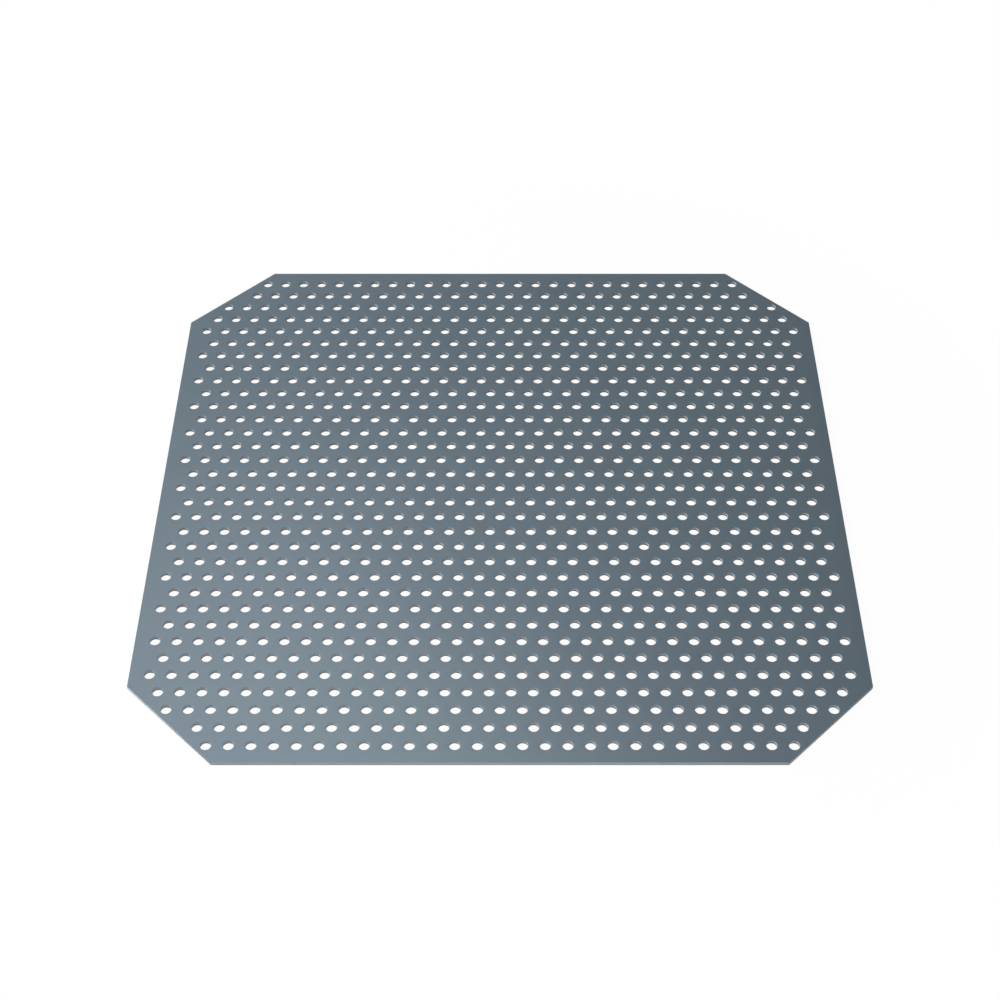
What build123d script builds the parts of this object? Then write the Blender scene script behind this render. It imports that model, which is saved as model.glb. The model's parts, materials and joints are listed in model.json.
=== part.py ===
"""Perforated steel sheet: a square blank with its four corners cut off at 45 degrees, punched
all over with round holes in staggered rows.

Millimetres, +Z up. The sheet lies flat on its underside with its middle at the origin, and the
rows of holes run along X.
"""

import os

from build123d import *

# Driving dimensions
thickness = 2.0
hole_diameter = 5.0
pitch = 10.0  # from hole to hole along a row, and from row to row
rows = 33
holes_in_long_row = 33  # long and short rows take turns, and a short row has one hole fewer
edge_margin = 9.3  # from the centres of the outermost holes to the edge of the sheet
corner_cut_share = 1 / 8  # leg of a corner cut, as a share of the sheet's side
least_land = 1.0  # steel that has to be left between a hole and a corner cut

# Sizes that follow from them
side_x = (holes_in_long_row - 1) * pitch + 2 * edge_margin
side_y = (rows - 1) * pitch + 2 * edge_margin
corner_cut = corner_cut_share * side_x


def steel_to_corner_cut(x, y):
    """Distance from a point of the sheet to the nearest corner cut's edge."""
    cut_line = side_x / 2 + side_y / 2 - corner_cut  # abs(x) + abs(y) on the cut's edge
    return (cut_line - abs(x) - abs(y)) / 2**0.5


def row_of_holes(row):
    """Centres of one row's holes. Every second row is shifted along by half a pitch."""
    is_short = (row - rows // 2) % 2 == 1
    count = holes_in_long_row - 1 if is_short else holes_in_long_row
    y = (row - (rows - 1) / 2) * pitch
    return [((column - (count - 1) / 2) * pitch, y) for column in range(count)]


def hole_centres():
    """Centres of all the holes that fit inside the cut corners."""
    needed = hole_diameter / 2 + least_land
    return [
        (x, y)
        for row in range(rows)
        for x, y in row_of_holes(row)
        if steel_to_corner_cut(x, y) >= needed
    ]


def blank_outline():
    """Outline of the sheared blank: a square with 45 degree corner cuts."""
    with BuildSketch() as blank:
        Rectangle(side_x, side_y)
        chamfer(blank.vertices(), corner_cut)
    return blank.face().outer_wire()


def perforated_sheet():
    """The punched blank, as one solid from its underside at Z = 0 up."""
    holes = [
        Wire.make_circle(hole_diameter / 2, Plane((x, y, 0))) for x, y in hole_centres()
    ]
    return extrude(Face(blank_outline(), holes), thickness, dir=(0, 0, 1))


os.makedirs("parts", exist_ok=True)
sheet = perforated_sheet()
sheet.label = "perforated_sheet"
export_step(sheet, "parts/perforated_sheet.step")
print(f"sheet {side_x:.1f} x {side_y:.1f} x {thickness} mm, {len(hole_centres())} holes")
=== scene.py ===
"""A punched steel sheet in a plain studio, laid out as a Blender add-on.

The sheet lies on its underside with its middle at the origin, +Z up, in metres. Its mesh has the
edges that a punch and a shear leave: drawn down at the top, burnished below that, and broken out
towards the underside.
"""

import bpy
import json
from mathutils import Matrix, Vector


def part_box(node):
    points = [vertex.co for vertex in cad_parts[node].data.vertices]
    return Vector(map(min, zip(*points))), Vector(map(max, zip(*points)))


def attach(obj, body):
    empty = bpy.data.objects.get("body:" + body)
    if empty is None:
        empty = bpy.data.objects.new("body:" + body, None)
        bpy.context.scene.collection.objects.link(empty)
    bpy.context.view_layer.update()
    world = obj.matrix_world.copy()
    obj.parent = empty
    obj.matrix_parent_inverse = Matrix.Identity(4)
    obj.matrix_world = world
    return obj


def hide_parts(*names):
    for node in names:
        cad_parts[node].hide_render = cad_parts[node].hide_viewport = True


bl_info = {
    "name": "Punched Steel Sheet",
    "version": (1, 0, 0),
    "blender": (4, 5, 0),
    "location": "View3D > Sidebar > Punched Sheet",
    "description": "Makes a perforated steel sheet with punched edges, and a studio to see it in",
    "category": "Add Mesh",
}

import json
import math
from collections import namedtuple

import bpy
from mathutils import Vector
from mathutils.geometry import delaunay_2d_cdt

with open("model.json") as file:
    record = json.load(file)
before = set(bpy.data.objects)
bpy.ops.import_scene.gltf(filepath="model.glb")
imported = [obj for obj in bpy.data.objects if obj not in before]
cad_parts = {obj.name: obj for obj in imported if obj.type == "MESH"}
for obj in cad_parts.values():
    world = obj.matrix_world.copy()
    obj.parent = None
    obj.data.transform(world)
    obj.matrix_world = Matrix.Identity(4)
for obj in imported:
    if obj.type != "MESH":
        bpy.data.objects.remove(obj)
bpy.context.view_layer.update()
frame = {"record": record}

CAD_NODE = "perforated_sheet"
MM = 0.001
ROLLED, CUT = 0, 1  # the sheet's two materials, by index

MOUNTS = {mount["name"]: mount for mount in frame["record"]["mounts"]}
LOWEST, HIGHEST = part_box(CAD_NODE)
SIDE = HIGHEST.x - LOWEST.x
THICKNESS = HIGHEST.z - LOWEST.z
ROWS = 33
SIDE_HOLES = MOUNTS["side_row_holes"]["dims"]  # the outermost holes of two full rows
PITCH = SIDE_HOLES["spacing_x_mm"] * MM / (ROWS - 1)
HOLE_DIAMETER = 2 * SIDE_HOLES["hole_r_mm"] * MM

# Power in watts, azimuth in degrees to the left of straight in front, elevation in degrees,
# distance and size in metres, and whether the steel mirrors the lamp.
Lamp = namedtuple("Lamp", "power azimuth elevation distance size mirrored")
LAMPS = {
    "side": Lamp(42.0, 98, 25, 1.5, 0.85, False),  # from the left, for the walls of the holes
    "front": Lamp(1.0, 0, 26, 0.5, 0.3, False),  # fills the walls that face the front
    "top": Lamp(0.97, 135, 66, 0.7, 0.5, True),  # a sheen on the flat face
}


class SheetSizes(bpy.types.PropertyGroup):
    """Sizes of the sheet, its holes and the edges that the tools leave."""

    side: bpy.props.FloatProperty(
        name="Side",
        description="Length of the square sheet's sides",
        default=SIDE,
        min=0.01,
        unit="LENGTH",
    )
    thickness: bpy.props.FloatProperty(
        name="Thickness",
        description="Thickness of the steel",
        default=THICKNESS,
        min=0.0001,
        unit="LENGTH",
    )
    corner_cut_share: bpy.props.FloatProperty(
        name="Corner Cut",
        description="Leg of each 45 degree corner cut, as a share of the side",
        default=1 / 8,
        min=0.0,
        max=0.5,
        subtype="FACTOR",
    )
    rows: bpy.props.IntProperty(
        name="Rows",
        description="Rows of holes, and holes in a long row. A short row has one hole fewer",
        default=ROWS,
        min=3,
    )
    pitch: bpy.props.FloatProperty(
        name="Pitch",
        description="Distance from hole to hole along a row, and from row to row",
        default=PITCH,
        min=0.001,
        unit="LENGTH",
    )
    hole_diameter: bpy.props.FloatProperty(
        name="Hole Diameter",
        description="Diameter of the punch",
        default=HOLE_DIAMETER,
        min=0.0005,
        unit="LENGTH",
    )
    least_land: bpy.props.FloatProperty(
        name="Least Land",
        description="Steel that has to be left between a hole and a corner cut",
        default=1.0 * MM,
        min=0.0,
        unit="LENGTH",
    )
    hole_sides: bpy.props.IntProperty(
        name="Hole Sides",
        description="Flat facets round each hole",
        default=22,
        min=8,
        max=24,
    )
    roll_over: bpy.props.FloatProperty(
        name="Roll-Over",
        description="How far the top face is drawn down round a punched or sheared edge",
        default=0.1 * MM,
        min=0.0,
        unit="LENGTH",
    )
    break_out: bpy.props.FloatProperty(
        name="Break-Out",
        description="How far the fracture under the burnished band falls back from the edge",
        default=0.08 * MM,
        min=0.0,
        unit="LENGTH",
    )
    burnish_share: bpy.props.FloatProperty(
        name="Burnished Share",
        description="Share of the thickness that the tool leaves smooth before the steel fractures",
        default=0.45,
        min=0.1,
        max=0.9,
        subtype="FACTOR",
    )


class SteelFinish(bpy.types.PropertyGroup):
    """Colours and surface of the steel."""

    steel_colour: bpy.props.FloatVectorProperty(
        name="Steel Colour",
        description="Colour of the rolled faces",
        default=(0.149, 0.201, 0.243),
        min=0.0,
        max=1.0,
        size=3,
        subtype="COLOR",
    )
    burnish_colour: bpy.props.FloatVectorProperty(
        name="Burnish Colour",
        description="Colour of the band that the tool rubs smooth on a cut edge",
        default=(0.27, 0.31, 0.343),
        min=0.0,
        max=1.0,
        size=3,
        subtype="COLOR",
    )
    fracture_colour: bpy.props.FloatVectorProperty(
        name="Fracture Colour",
        description="Colour of the torn steel low down on a cut edge",
        default=(0.243, 0.277, 0.308),
        min=0.0,
        max=1.0,
        size=3,
        subtype="COLOR",
    )
    metallic: bpy.props.FloatProperty(
        name="Metallic",
        description="How far bare metal shows through the dull skin of oxide",
        default=0.4,
        min=0.0,
        max=1.0,
        subtype="FACTOR",
    )
    oxide_index: bpy.props.FloatProperty(
        name="Oxide Index",
        description="Refractive index of the oxide skin, which gives the rolled faces their sheen",
        default=2.0,
        min=1.0,
        max=3.0,
    )
    cut_metallic: bpy.props.FloatProperty(
        name="Cut Metallic",
        description="How metallic the cut edges are",
        default=0.1,
        min=0.0,
        max=1.0,
        subtype="FACTOR",
    )
    roughness: bpy.props.FloatProperty(
        name="Roughness",
        description="Roughness of the rolled faces",
        default=0.38,
        min=0.0,
        max=1.0,
        subtype="FACTOR",
    )
    mottle_width: bpy.props.FloatProperty(
        name="Mottle Width",
        description="Width of the faint clouds in the steel's tone",
        default=24 * MM,
        min=0.001,
        unit="LENGTH",
    )
    grain_width: bpy.props.FloatProperty(
        name="Grain Width",
        description="Width of the lines that rolling leaves along the sheet",
        default=0.7 * MM,
        min=0.0001,
        unit="LENGTH",
    )


class StudioSettings(bpy.types.PropertyGroup):
    """Camera, lamps and surroundings."""

    view_distance: bpy.props.FloatProperty(
        name="View Distance",
        description="Distance from the camera to the point it aims at",
        default=0.9347,
        min=0.1,
        unit="LENGTH",
    )
    view_elevation: bpy.props.FloatProperty(
        name="View Elevation",
        description="Angle at which the camera looks down",
        default=math.radians(45.76),
        min=0.0,
        max=math.radians(90),
        subtype="ANGLE",
    )
    aim_forward: bpy.props.FloatProperty(
        name="Aim Forward",
        description="How far in front of the sheet's middle the camera aims",
        default=0.0079,
        unit="LENGTH",
    )
    lens: bpy.props.FloatProperty(
        name="Lens",
        description="Focal length in millimetres",
        default=67.52,
        min=10.0,
    )
    ambient: bpy.props.FloatProperty(
        name="Ambient",
        description="Strength of the light from all round",
        default=0.05,
        min=0.0,
    )
    ceiling: bpy.props.FloatProperty(
        name="Ceiling",
        description="Brightness of the room overhead, as the steel mirrors it",
        default=0.17,
        min=0.0,
    )
    backdrop_top: bpy.props.FloatProperty(
        name="Backdrop Top",
        description="Angle above the floor at which the white backdrop ends and the ceiling starts",
        default=math.radians(15),
        min=0.0,
        max=math.radians(60),
        subtype="ANGLE",
    )
    lamp_level: bpy.props.FloatProperty(
        name="Lamp Level",
        description="What the power of every lamp is multiplied by",
        default=1.0,
        min=0.0,
    )
    floor_shadow: bpy.props.FloatProperty(
        name="Floor Shadow",
        description="How much of the object's shadow the white floor shows",
        default=0.035,
        min=0.0,
        max=1.0,
        subtype="FACTOR",
    )
    shadow_reach: bpy.props.FloatProperty(
        name="Shadow Reach",
        description="Distance from the middle at which the floor is pure white",
        default=0.3,
        min=0.01,
        unit="LENGTH",
    )


class Value:
    """An output socket. Python's operators on it add Math nodes to its tree."""

    def __init__(self, nodes, socket):
        self.nodes = nodes
        self.socket = socket

    def _math(self, operation, first, second):
        inputs = {"Value": first, "Value_001": second}
        return self.nodes.add("ShaderNodeMath", {"operation": operation}, inputs)["Value"]

    def __add__(self, other):
        return self._math("ADD", self, other)

    def __radd__(self, other):
        return self._math("ADD", other, self)

    def __sub__(self, other):
        return self._math("SUBTRACT", self, other)

    def __rsub__(self, other):
        return self._math("SUBTRACT", other, self)

    def __mul__(self, other):
        return self._math("MULTIPLY", self, other)

    def __rmul__(self, other):
        return self._math("MULTIPLY", other, self)


class Node:
    """A node whose outputs are read by name."""

    def __init__(self, nodes, node):
        self.nodes = nodes
        self.node = node

    def __getitem__(self, name):
        return Value(self.nodes, self.nodes.socket(self.node.outputs, name))


class Nodes:
    """The node tree of a material or a world."""

    def __init__(self, owner):
        owner.use_nodes = True
        self.tree = owner.node_tree
        self.tree.nodes.clear()

    def socket(self, sockets, name):
        """The socket with that identifier or, failing that, with that name."""
        for key in ("identifier", "name"):
            for socket in sockets:
                if getattr(socket, key) == name and socket.enabled:
                    return socket
        raise KeyError(f"no socket named {name}")

    def add(self, kind, settings=None, inputs=None):
        """Adds a node: first its settings are set, then its sockets get values or links."""
        node = self.tree.nodes.new(kind)
        for name, value in (settings or {}).items():
            setattr(node, name, value)
        for name, value in (inputs or {}).items():
            socket = self.socket(node.inputs, name)
            if isinstance(value, Value):
                self.tree.links.new(value.socket, socket)
            else:
                socket.default_value = value
        return Node(self, node)


def corner_cut_line(sizes):
    """What abs(x) + abs(y) comes to on the edge of a corner cut."""
    return sizes.side - sizes.corner_cut_share * sizes.side


def hole_centres(sizes):
    """Centres of the holes: long and short rows take turns, and the cut corners stay clear."""
    room = (sizes.hole_diameter / 2 + sizes.least_land) * math.sqrt(2)
    centres = []
    for row in range(sizes.rows):
        is_short = (row - sizes.rows // 2) % 2 == 1
        count = sizes.rows - 1 if is_short else sizes.rows
        y = (row - (sizes.rows - 1) / 2) * sizes.pitch
        for column in range(count):
            x = (column - (count - 1) / 2) * sizes.pitch
            if corner_cut_line(sizes) - abs(x) - abs(y) >= room:
                centres.append((x, y))
    return centres


def blank_corners(sizes, set_back):
    """The eight corners of the outline, with every side moved in by set_back."""
    half = sizes.side / 2 - set_back
    reach = corner_cut_line(sizes) - set_back * math.sqrt(2) - half
    corners = []
    for quarter in range(4):
        cos, sin = ((1, 0), (0, 1), (-1, 0), (0, -1))[quarter]
        for x, y in ((half, reach), (reach, half)):
            corners.append((x * cos - y * sin, x * sin + y * cos))
    return corners


def hole_ring(centre, radius, sides):
    """Points round a hole, as many as it has sides."""
    x, y = centre
    angles = [math.tau * step / sides for step in range(sides)]
    return [(x + radius * math.cos(a), y + radius * math.sin(a)) for a in angles]


def loops_at(sizes, centres, set_back):
    """The outline and every hole's ring, where the cut edge stands back by set_back."""
    radius = sizes.hole_diameter / 2 + set_back
    rings = [hole_ring(centre, radius, sizes.hole_sides) for centre in centres]
    return [blank_corners(sizes, set_back), *rings]


def numbered(loops):
    """For each loop, the indices that its points have in a list of all the points."""
    start = 0
    indices = []
    for loop in loops:
        indices.append(range(start, start + len(loop)))
        start += len(loop)
    return indices


def edges_round(loop):
    """Pairs of neighbours on a closed loop of indices."""
    return list(zip(loop, [*loop[1:], loop[0]]))


def flat_face(loops):
    """Triangles of the face inside the outline and outside the holes."""
    indices = numbered(loops)
    points = [Vector(point) for loop in loops for point in loop]
    edges = [edge for loop in indices for edge in edges_round(loop)]
    owner = [number for number, loop in enumerate(indices) for _ in loop]
    inside_edges = 1
    tolerance = 1e-9
    result = delaunay_2d_cdt(points, edges, [], inside_edges, tolerance)
    if len(result[0]) != len(points):
        raise RuntimeError("holes touch each other or the edge of the sheet")
    original = [sources[0] for sources in result[3]]
    faces = [[original[i] for i in face] for face in result[2]]
    return [f for f in faces if len({owner[i] for i in f}) > 1 or owner[f[0]] == 0]


def burnish_end(sizes):
    """Height at which a cut edge changes from burnished to torn."""
    return sizes.thickness * (1 - sizes.burnish_share)


def edge_profile(sizes):
    """Steps of a cut edge from the top down: how far it stands back, and its height."""
    roll_over_depth = 1.2 * sizes.roll_over
    return [
        (sizes.roll_over, sizes.thickness),
        (0.0, sizes.thickness - roll_over_depth),
        (0.0, burnish_end(sizes)),
        (sizes.break_out, 0.0),
    ]


def sheet_mesh(name, sizes):
    """The whole sheet as one closed mesh: two flat faces, and a cut edge round every loop."""
    centres = hole_centres(sizes)
    levels = [(loops_at(sizes, centres, back), z) for back, z in edge_profile(sizes)]
    vertices = [(x, y, z) for loops, z in levels for loop in loops for x, y in loop]
    indices = numbered(levels[0][0])
    level_size = len(vertices) // len(levels)
    last_level = level_size * (len(levels) - 1)
    top = flat_face(levels[0][0])
    flat = top + [[i + last_level for i in reversed(face)] for face in top]
    drawn_down = []
    cut = []
    for number, loop in enumerate(indices):
        for a, b in edges_round(loop):
            if number > 0:
                a, b = b, a  # holes are walked the other way round than the outline
            for level in range(len(levels) - 1):
                upper = level * level_size
                lower = upper + level_size
                band = drawn_down if level == 0 else cut
                band.append([a + upper, a + lower, b + lower, b + upper])
    mesh = bpy.data.meshes.new(name)
    mesh.from_pydata(vertices, [], flat + drawn_down + cut)
    edge_count = len(drawn_down) + len(cut)
    mesh.polygons.foreach_set("use_smooth", [False] * len(flat) + [True] * edge_count)
    rolled_count = len(flat) + len(drawn_down)
    mesh.polygons.foreach_set("material_index", [ROLLED] * rolled_count + [CUT] * len(cut))
    mesh.validate()
    return mesh


def blend(nodes, factor, first, second):
    """Mixes two colours by a factor that varies over the surface."""
    inputs = {"Factor_Float": factor, "A_Color": first, "B_Color": second}
    return nodes.add("ShaderNodeMix", {"data_type": "RGBA"}, inputs)["Result_Color"]


def mixed_shader(nodes, factor, first, second):
    """Mixes two shaders, with all of the second where the factor is 1."""
    inputs = {"Fac": factor, "Shader": first, "Shader_001": second}
    return nodes.add("ShaderNodeMixShader", {}, inputs)["Shader"]


def tinted(colour, share):
    """A colour made darker or lighter, with the alpha that a socket wants."""
    return (*(channel * share for channel in colour), 1.0)


def noise(nodes, place, widths, detail):
    """Noise about as wide as the widths along X, Y and Z."""
    stretch = {"Vector": place, "Scale": tuple(1 / width for width in widths)}
    stretched = nodes.add("ShaderNodeMapping", {}, stretch)["Vector"]
    inputs = {"Vector": stretched, "Scale": 1.0, "Detail": detail}
    return nodes.add("ShaderNodeTexNoise", {}, inputs)["Fac"]


def rolled_steel(finish):
    """Finish of the two flat faces: satin, a little cloudy, with fine lines from the rolls."""
    material = bpy.data.materials.new("rolled_steel")
    nodes = Nodes(material)
    place = nodes.add("ShaderNodeTexCoord")["Object"]
    mottle = noise(nodes, place, (finish.mottle_width,) * 3, 3.0)
    line_length = 60 * finish.grain_width
    grain = noise(nodes, place, (line_length, finish.grain_width, line_length), 2.0)
    cloud, line = mottle - 0.5, grain - 0.5  # both about 0, so that they keep the middle tone
    tone = 0.5 + 0.5 * cloud + 0.3 * line
    dark, light = tinted(finish.steel_colour, 0.9), tinted(finish.steel_colour, 1.1)
    bump = {"Strength": 0.15, "Distance": 0.02 * MM, "Height": grain}
    surface = {
        "Base Color": blend(nodes, tone, dark, light),
        "Metallic": finish.metallic,
        "IOR": finish.oxide_index,
        "Roughness": finish.roughness + 0.12 * cloud + 0.08 * line,
        "Normal": nodes.add("ShaderNodeBump", {}, bump)["Normal"],
    }
    shader = nodes.add("ShaderNodeBsdfPrincipled", {}, surface)["BSDF"]
    nodes.add("ShaderNodeOutputMaterial", {}, {"Surface": shader})
    return material


def cut_steel(finish, sizes):
    """Finish of the punched and sheared edges: rubbed smooth above, torn and duller below."""
    material = bpy.data.materials.new("cut_steel")
    nodes = Nodes(material)
    place = nodes.add("ShaderNodeTexCoord")["Object"]
    height = nodes.add("ShaderNodeSeparateXYZ", {}, {"Vector": place})["Z"]
    streak_width, streak_length, crumb_width = 0.25 * MM, 4 * MM, 0.2 * MM
    streaks = noise(nodes, place, (streak_width, streak_width, streak_length), 2.0)
    crumbs = noise(nodes, place, (crumb_width,) * 3, 2.0)
    raggedness = 0.3 * sizes.thickness
    softness = 0.1 * sizes.thickness
    torn_range = {
        "Value": height + (streaks - 0.5) * raggedness,
        "From Min": burnish_end(sizes) + softness,
        "From Max": burnish_end(sizes) - softness,
    }
    torn = nodes.add("ShaderNodeMapRange", {}, torn_range)["Result"]
    burnished = [tinted(finish.burnish_colour, share) for share in (0.85, 1.15)]
    fractured = [tinted(finish.fracture_colour, share) for share in (0.7, 1.3)]
    smooth = blend(nodes, streaks, *burnished)
    rough = blend(nodes, crumbs, *fractured)
    relief = 0.3 * streaks + torn * crumbs
    bump = {"Strength": 0.3, "Distance": 0.05 * MM, "Height": relief}
    surface = {
        "Base Color": blend(nodes, torn, smooth, rough),
        "Metallic": finish.cut_metallic,
        "Roughness": 0.45 + 0.15 * torn,
        "Normal": nodes.add("ShaderNodeBump", {}, bump)["Normal"],
    }
    shader = nodes.add("ShaderNodeBsdfPrincipled", {}, surface)["BSDF"]
    nodes.add("ShaderNodeOutputMaterial", {}, {"Surface": shader})
    return material


class PUNCHED_SHEET_OT_sheet(bpy.types.Operator):
    """Make the punched sheet, which stands for the plain CAD sheet"""

    bl_idname = "punched_sheet.sheet"
    bl_label = "Punched Sheet"
    bl_options = {"REGISTER", "UNDO"}

    def execute(self, context):
        sizes = context.scene.punched_sheet_sizes
        finish = context.scene.punched_sheet_finish
        name = "punched_sheet"
        sheet = bpy.data.objects.new(name, sheet_mesh(name, sizes))
        context.scene.collection.objects.link(sheet)
        sheet.data.materials.append(rolled_steel(finish))
        sheet.data.materials.append(cut_steel(finish, sizes))
        normals = sheet.modifiers.new("Flat Faces Lead", "WEIGHTED_NORMAL")
        normals.mode = "FACE_AREA"
        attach(sheet, "root")
        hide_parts(CAD_NODE)
        return {"FINISHED"}


def white_floor(studio):
    """A floor that is white, keeps some of the shadow near the object, and is clear from below."""
    material = bpy.data.materials.new("white_floor")
    nodes = Nodes(material)
    place = {"Vector": nodes.add("ShaderNodeTexCoord")["Object"]}
    distance = nodes.add("ShaderNodeVectorMath", {"operation": "LENGTH"}, place)["Value"]
    fade_start = 0.7 * studio.shadow_reach
    fade = {"Value": distance, "From Min": studio.shadow_reach, "From Max": fade_start}
    near = nodes.add("ShaderNodeMapRange", {"interpolation_type": "SMOOTHSTEP"}, fade)["Result"]
    path = nodes.add("ShaderNodeLightPath")
    seen = path["Is Camera Ray"] + path["Is Glossy Ray"] + path["Is Transmission Ray"]
    paint = nodes.add("ShaderNodeBsdfDiffuse", {}, {"Color": (0.9, 0.9, 0.9, 1.0)})
    glow = nodes.add("ShaderNodeEmission", {}, {"Color": (1.0, 1.0, 1.0, 1.0), "Strength": 1.0})
    white_share = seen * (1.0 - near * studio.floor_shadow)
    white = mixed_shader(nodes, white_share, paint["BSDF"], glow["Emission"])
    clear = nodes.add("ShaderNodeBsdfTransparent")["BSDF"]
    from_below = nodes.add("ShaderNodeNewGeometry")["Backfacing"]
    surface = mixed_shader(nodes, from_below, white, clear)
    nodes.add("ShaderNodeOutputMaterial", {}, {"Surface": surface})
    return material


def studio_world(studio):
    """White to the camera. To the steel, a white backdrop low down and a dimmer ceiling above it."""
    world = bpy.data.worlds.new("studio")
    nodes = Nodes(world)
    direction = nodes.add("ShaderNodeTexCoord")["Generated"]
    height = nodes.add("ShaderNodeSeparateXYZ", {}, {"Vector": direction})["Z"]
    fade_end, fade_start = math.sin(1.3 * studio.backdrop_top), math.sin(0.7 * studio.backdrop_top)
    edge = {"Value": height, "From Min": fade_end, "From Max": fade_start}
    backdrop = nodes.add("ShaderNodeMapRange", {"interpolation_type": "SMOOTHSTEP"}, edge)["Result"]
    path = nodes.add("ShaderNodeLightPath")
    seen = path["Is Camera Ray"]
    mirrored = path["Is Glossy Ray"] + path["Is Transmission Ray"]
    room = studio.ceiling + backdrop * (1.0 - studio.ceiling)
    strength = seen + mirrored * room + (1.0 - seen - mirrored) * studio.ambient
    light = nodes.add("ShaderNodeBackground", {}, {"Color": (1, 1, 1, 1), "Strength": strength})
    nodes.add("ShaderNodeOutputWorld", {}, {"Surface": light["Background"]})
    return world


def bearing(azimuth, elevation):
    """Direction from the sheet's middle, with azimuth 0 in front and growing to the left."""
    level = math.cos(elevation)
    return Vector((-math.sin(azimuth) * level, -math.cos(azimuth) * level, math.sin(elevation)))


def soft_box(name, lamp, level):
    """A square lamp that shines at the middle of the sheet, and that steel may mirror or not."""
    light = bpy.data.lights.new(name, "AREA")
    light.shape = "SQUARE"
    light.size = lamp.size
    light.energy = lamp.power * level
    direction = bearing(math.radians(lamp.azimuth), math.radians(lamp.elevation))
    box = bpy.data.objects.new(name, light)
    box.location = direction * lamp.distance
    box.rotation_euler = (-direction).to_track_quat("-Z", "Y").to_euler()
    box.visible_camera = False
    box.visible_glossy = lamp.mirrored
    bpy.context.scene.collection.objects.link(box)


class PUNCHED_SHEET_OT_studio(bpy.types.Operator):
    """Make the floor, the lamps, the world and the camera"""

    bl_idname = "punched_sheet.studio"
    bl_label = "Studio"
    bl_options = {"REGISTER", "UNDO"}

    def execute(self, context):
        scene = context.scene
        studio = scene.punched_sheet_studio
        reach = 10.0
        corners = [(-reach, -reach, 0), (reach, -reach, 0), (reach, reach, 0), (-reach, reach, 0)]
        mesh = bpy.data.meshes.new("floor")
        mesh.from_pydata(corners, [], [(0, 1, 2, 3)])
        mesh.materials.append(white_floor(studio))
        floor = bpy.data.objects.new("floor", mesh)
        floor.location.z = -0.01 * MM  # so that it and the underside don't share one plane
        scene.collection.objects.link(floor)
        scene.world = studio_world(studio)
        for name, lamp in LAMPS.items():
            soft_box(name, lamp, studio.lamp_level)
        aim = Vector((0.0, -studio.aim_forward, THICKNESS / 2))
        back = bearing(0.0, studio.view_elevation)
        camera = bpy.data.objects.new("camera", bpy.data.cameras.new("camera"))
        camera.data.lens = studio.lens
        camera.location = aim + back * studio.view_distance
        camera.rotation_euler = (-back).to_track_quat("-Z", "Y").to_euler()
        scene.collection.objects.link(camera)
        scene.camera = camera
        scene.view_settings.view_transform = "Standard"
        return {"FINISHED"}


class PUNCHED_SHEET_PT_panel(bpy.types.Panel):
    """The add-on's operators and settings"""

    bl_idname = "PUNCHED_SHEET_PT_panel"
    bl_label = "Punched Sheet"
    bl_space_type = "VIEW_3D"
    bl_region_type = "UI"
    bl_category = "Punched Sheet"

    def draw(self, context):
        layout = self.layout
        layout.operator(PUNCHED_SHEET_OT_sheet.bl_idname)
        layout.operator(PUNCHED_SHEET_OT_studio.bl_idname)
        for name, group in SETTINGS.items():
            box = layout.box()
            for setting in group.__annotations__:
                box.prop(getattr(context.scene, name), setting)


CLASSES = (
    SheetSizes,
    SteelFinish,
    StudioSettings,
    PUNCHED_SHEET_OT_sheet,
    PUNCHED_SHEET_OT_studio,
    PUNCHED_SHEET_PT_panel,
)
SETTINGS = {
    "punched_sheet_sizes": SheetSizes,
    "punched_sheet_finish": SteelFinish,
    "punched_sheet_studio": StudioSettings,
}


def register():
    for cls in CLASSES:
        bpy.utils.register_class(cls)
    for name, group in SETTINGS.items():
        setattr(bpy.types.Scene, name, bpy.props.PointerProperty(type=group))


def unregister():
    for name in SETTINGS:
        delattr(bpy.types.Scene, name)
    for cls in reversed(CLASSES):
        bpy.utils.unregister_class(cls)


def main():
    register()
    bpy.ops.punched_sheet.sheet()
    bpy.ops.punched_sheet.studio()


if __name__ == "__main__":
    main()
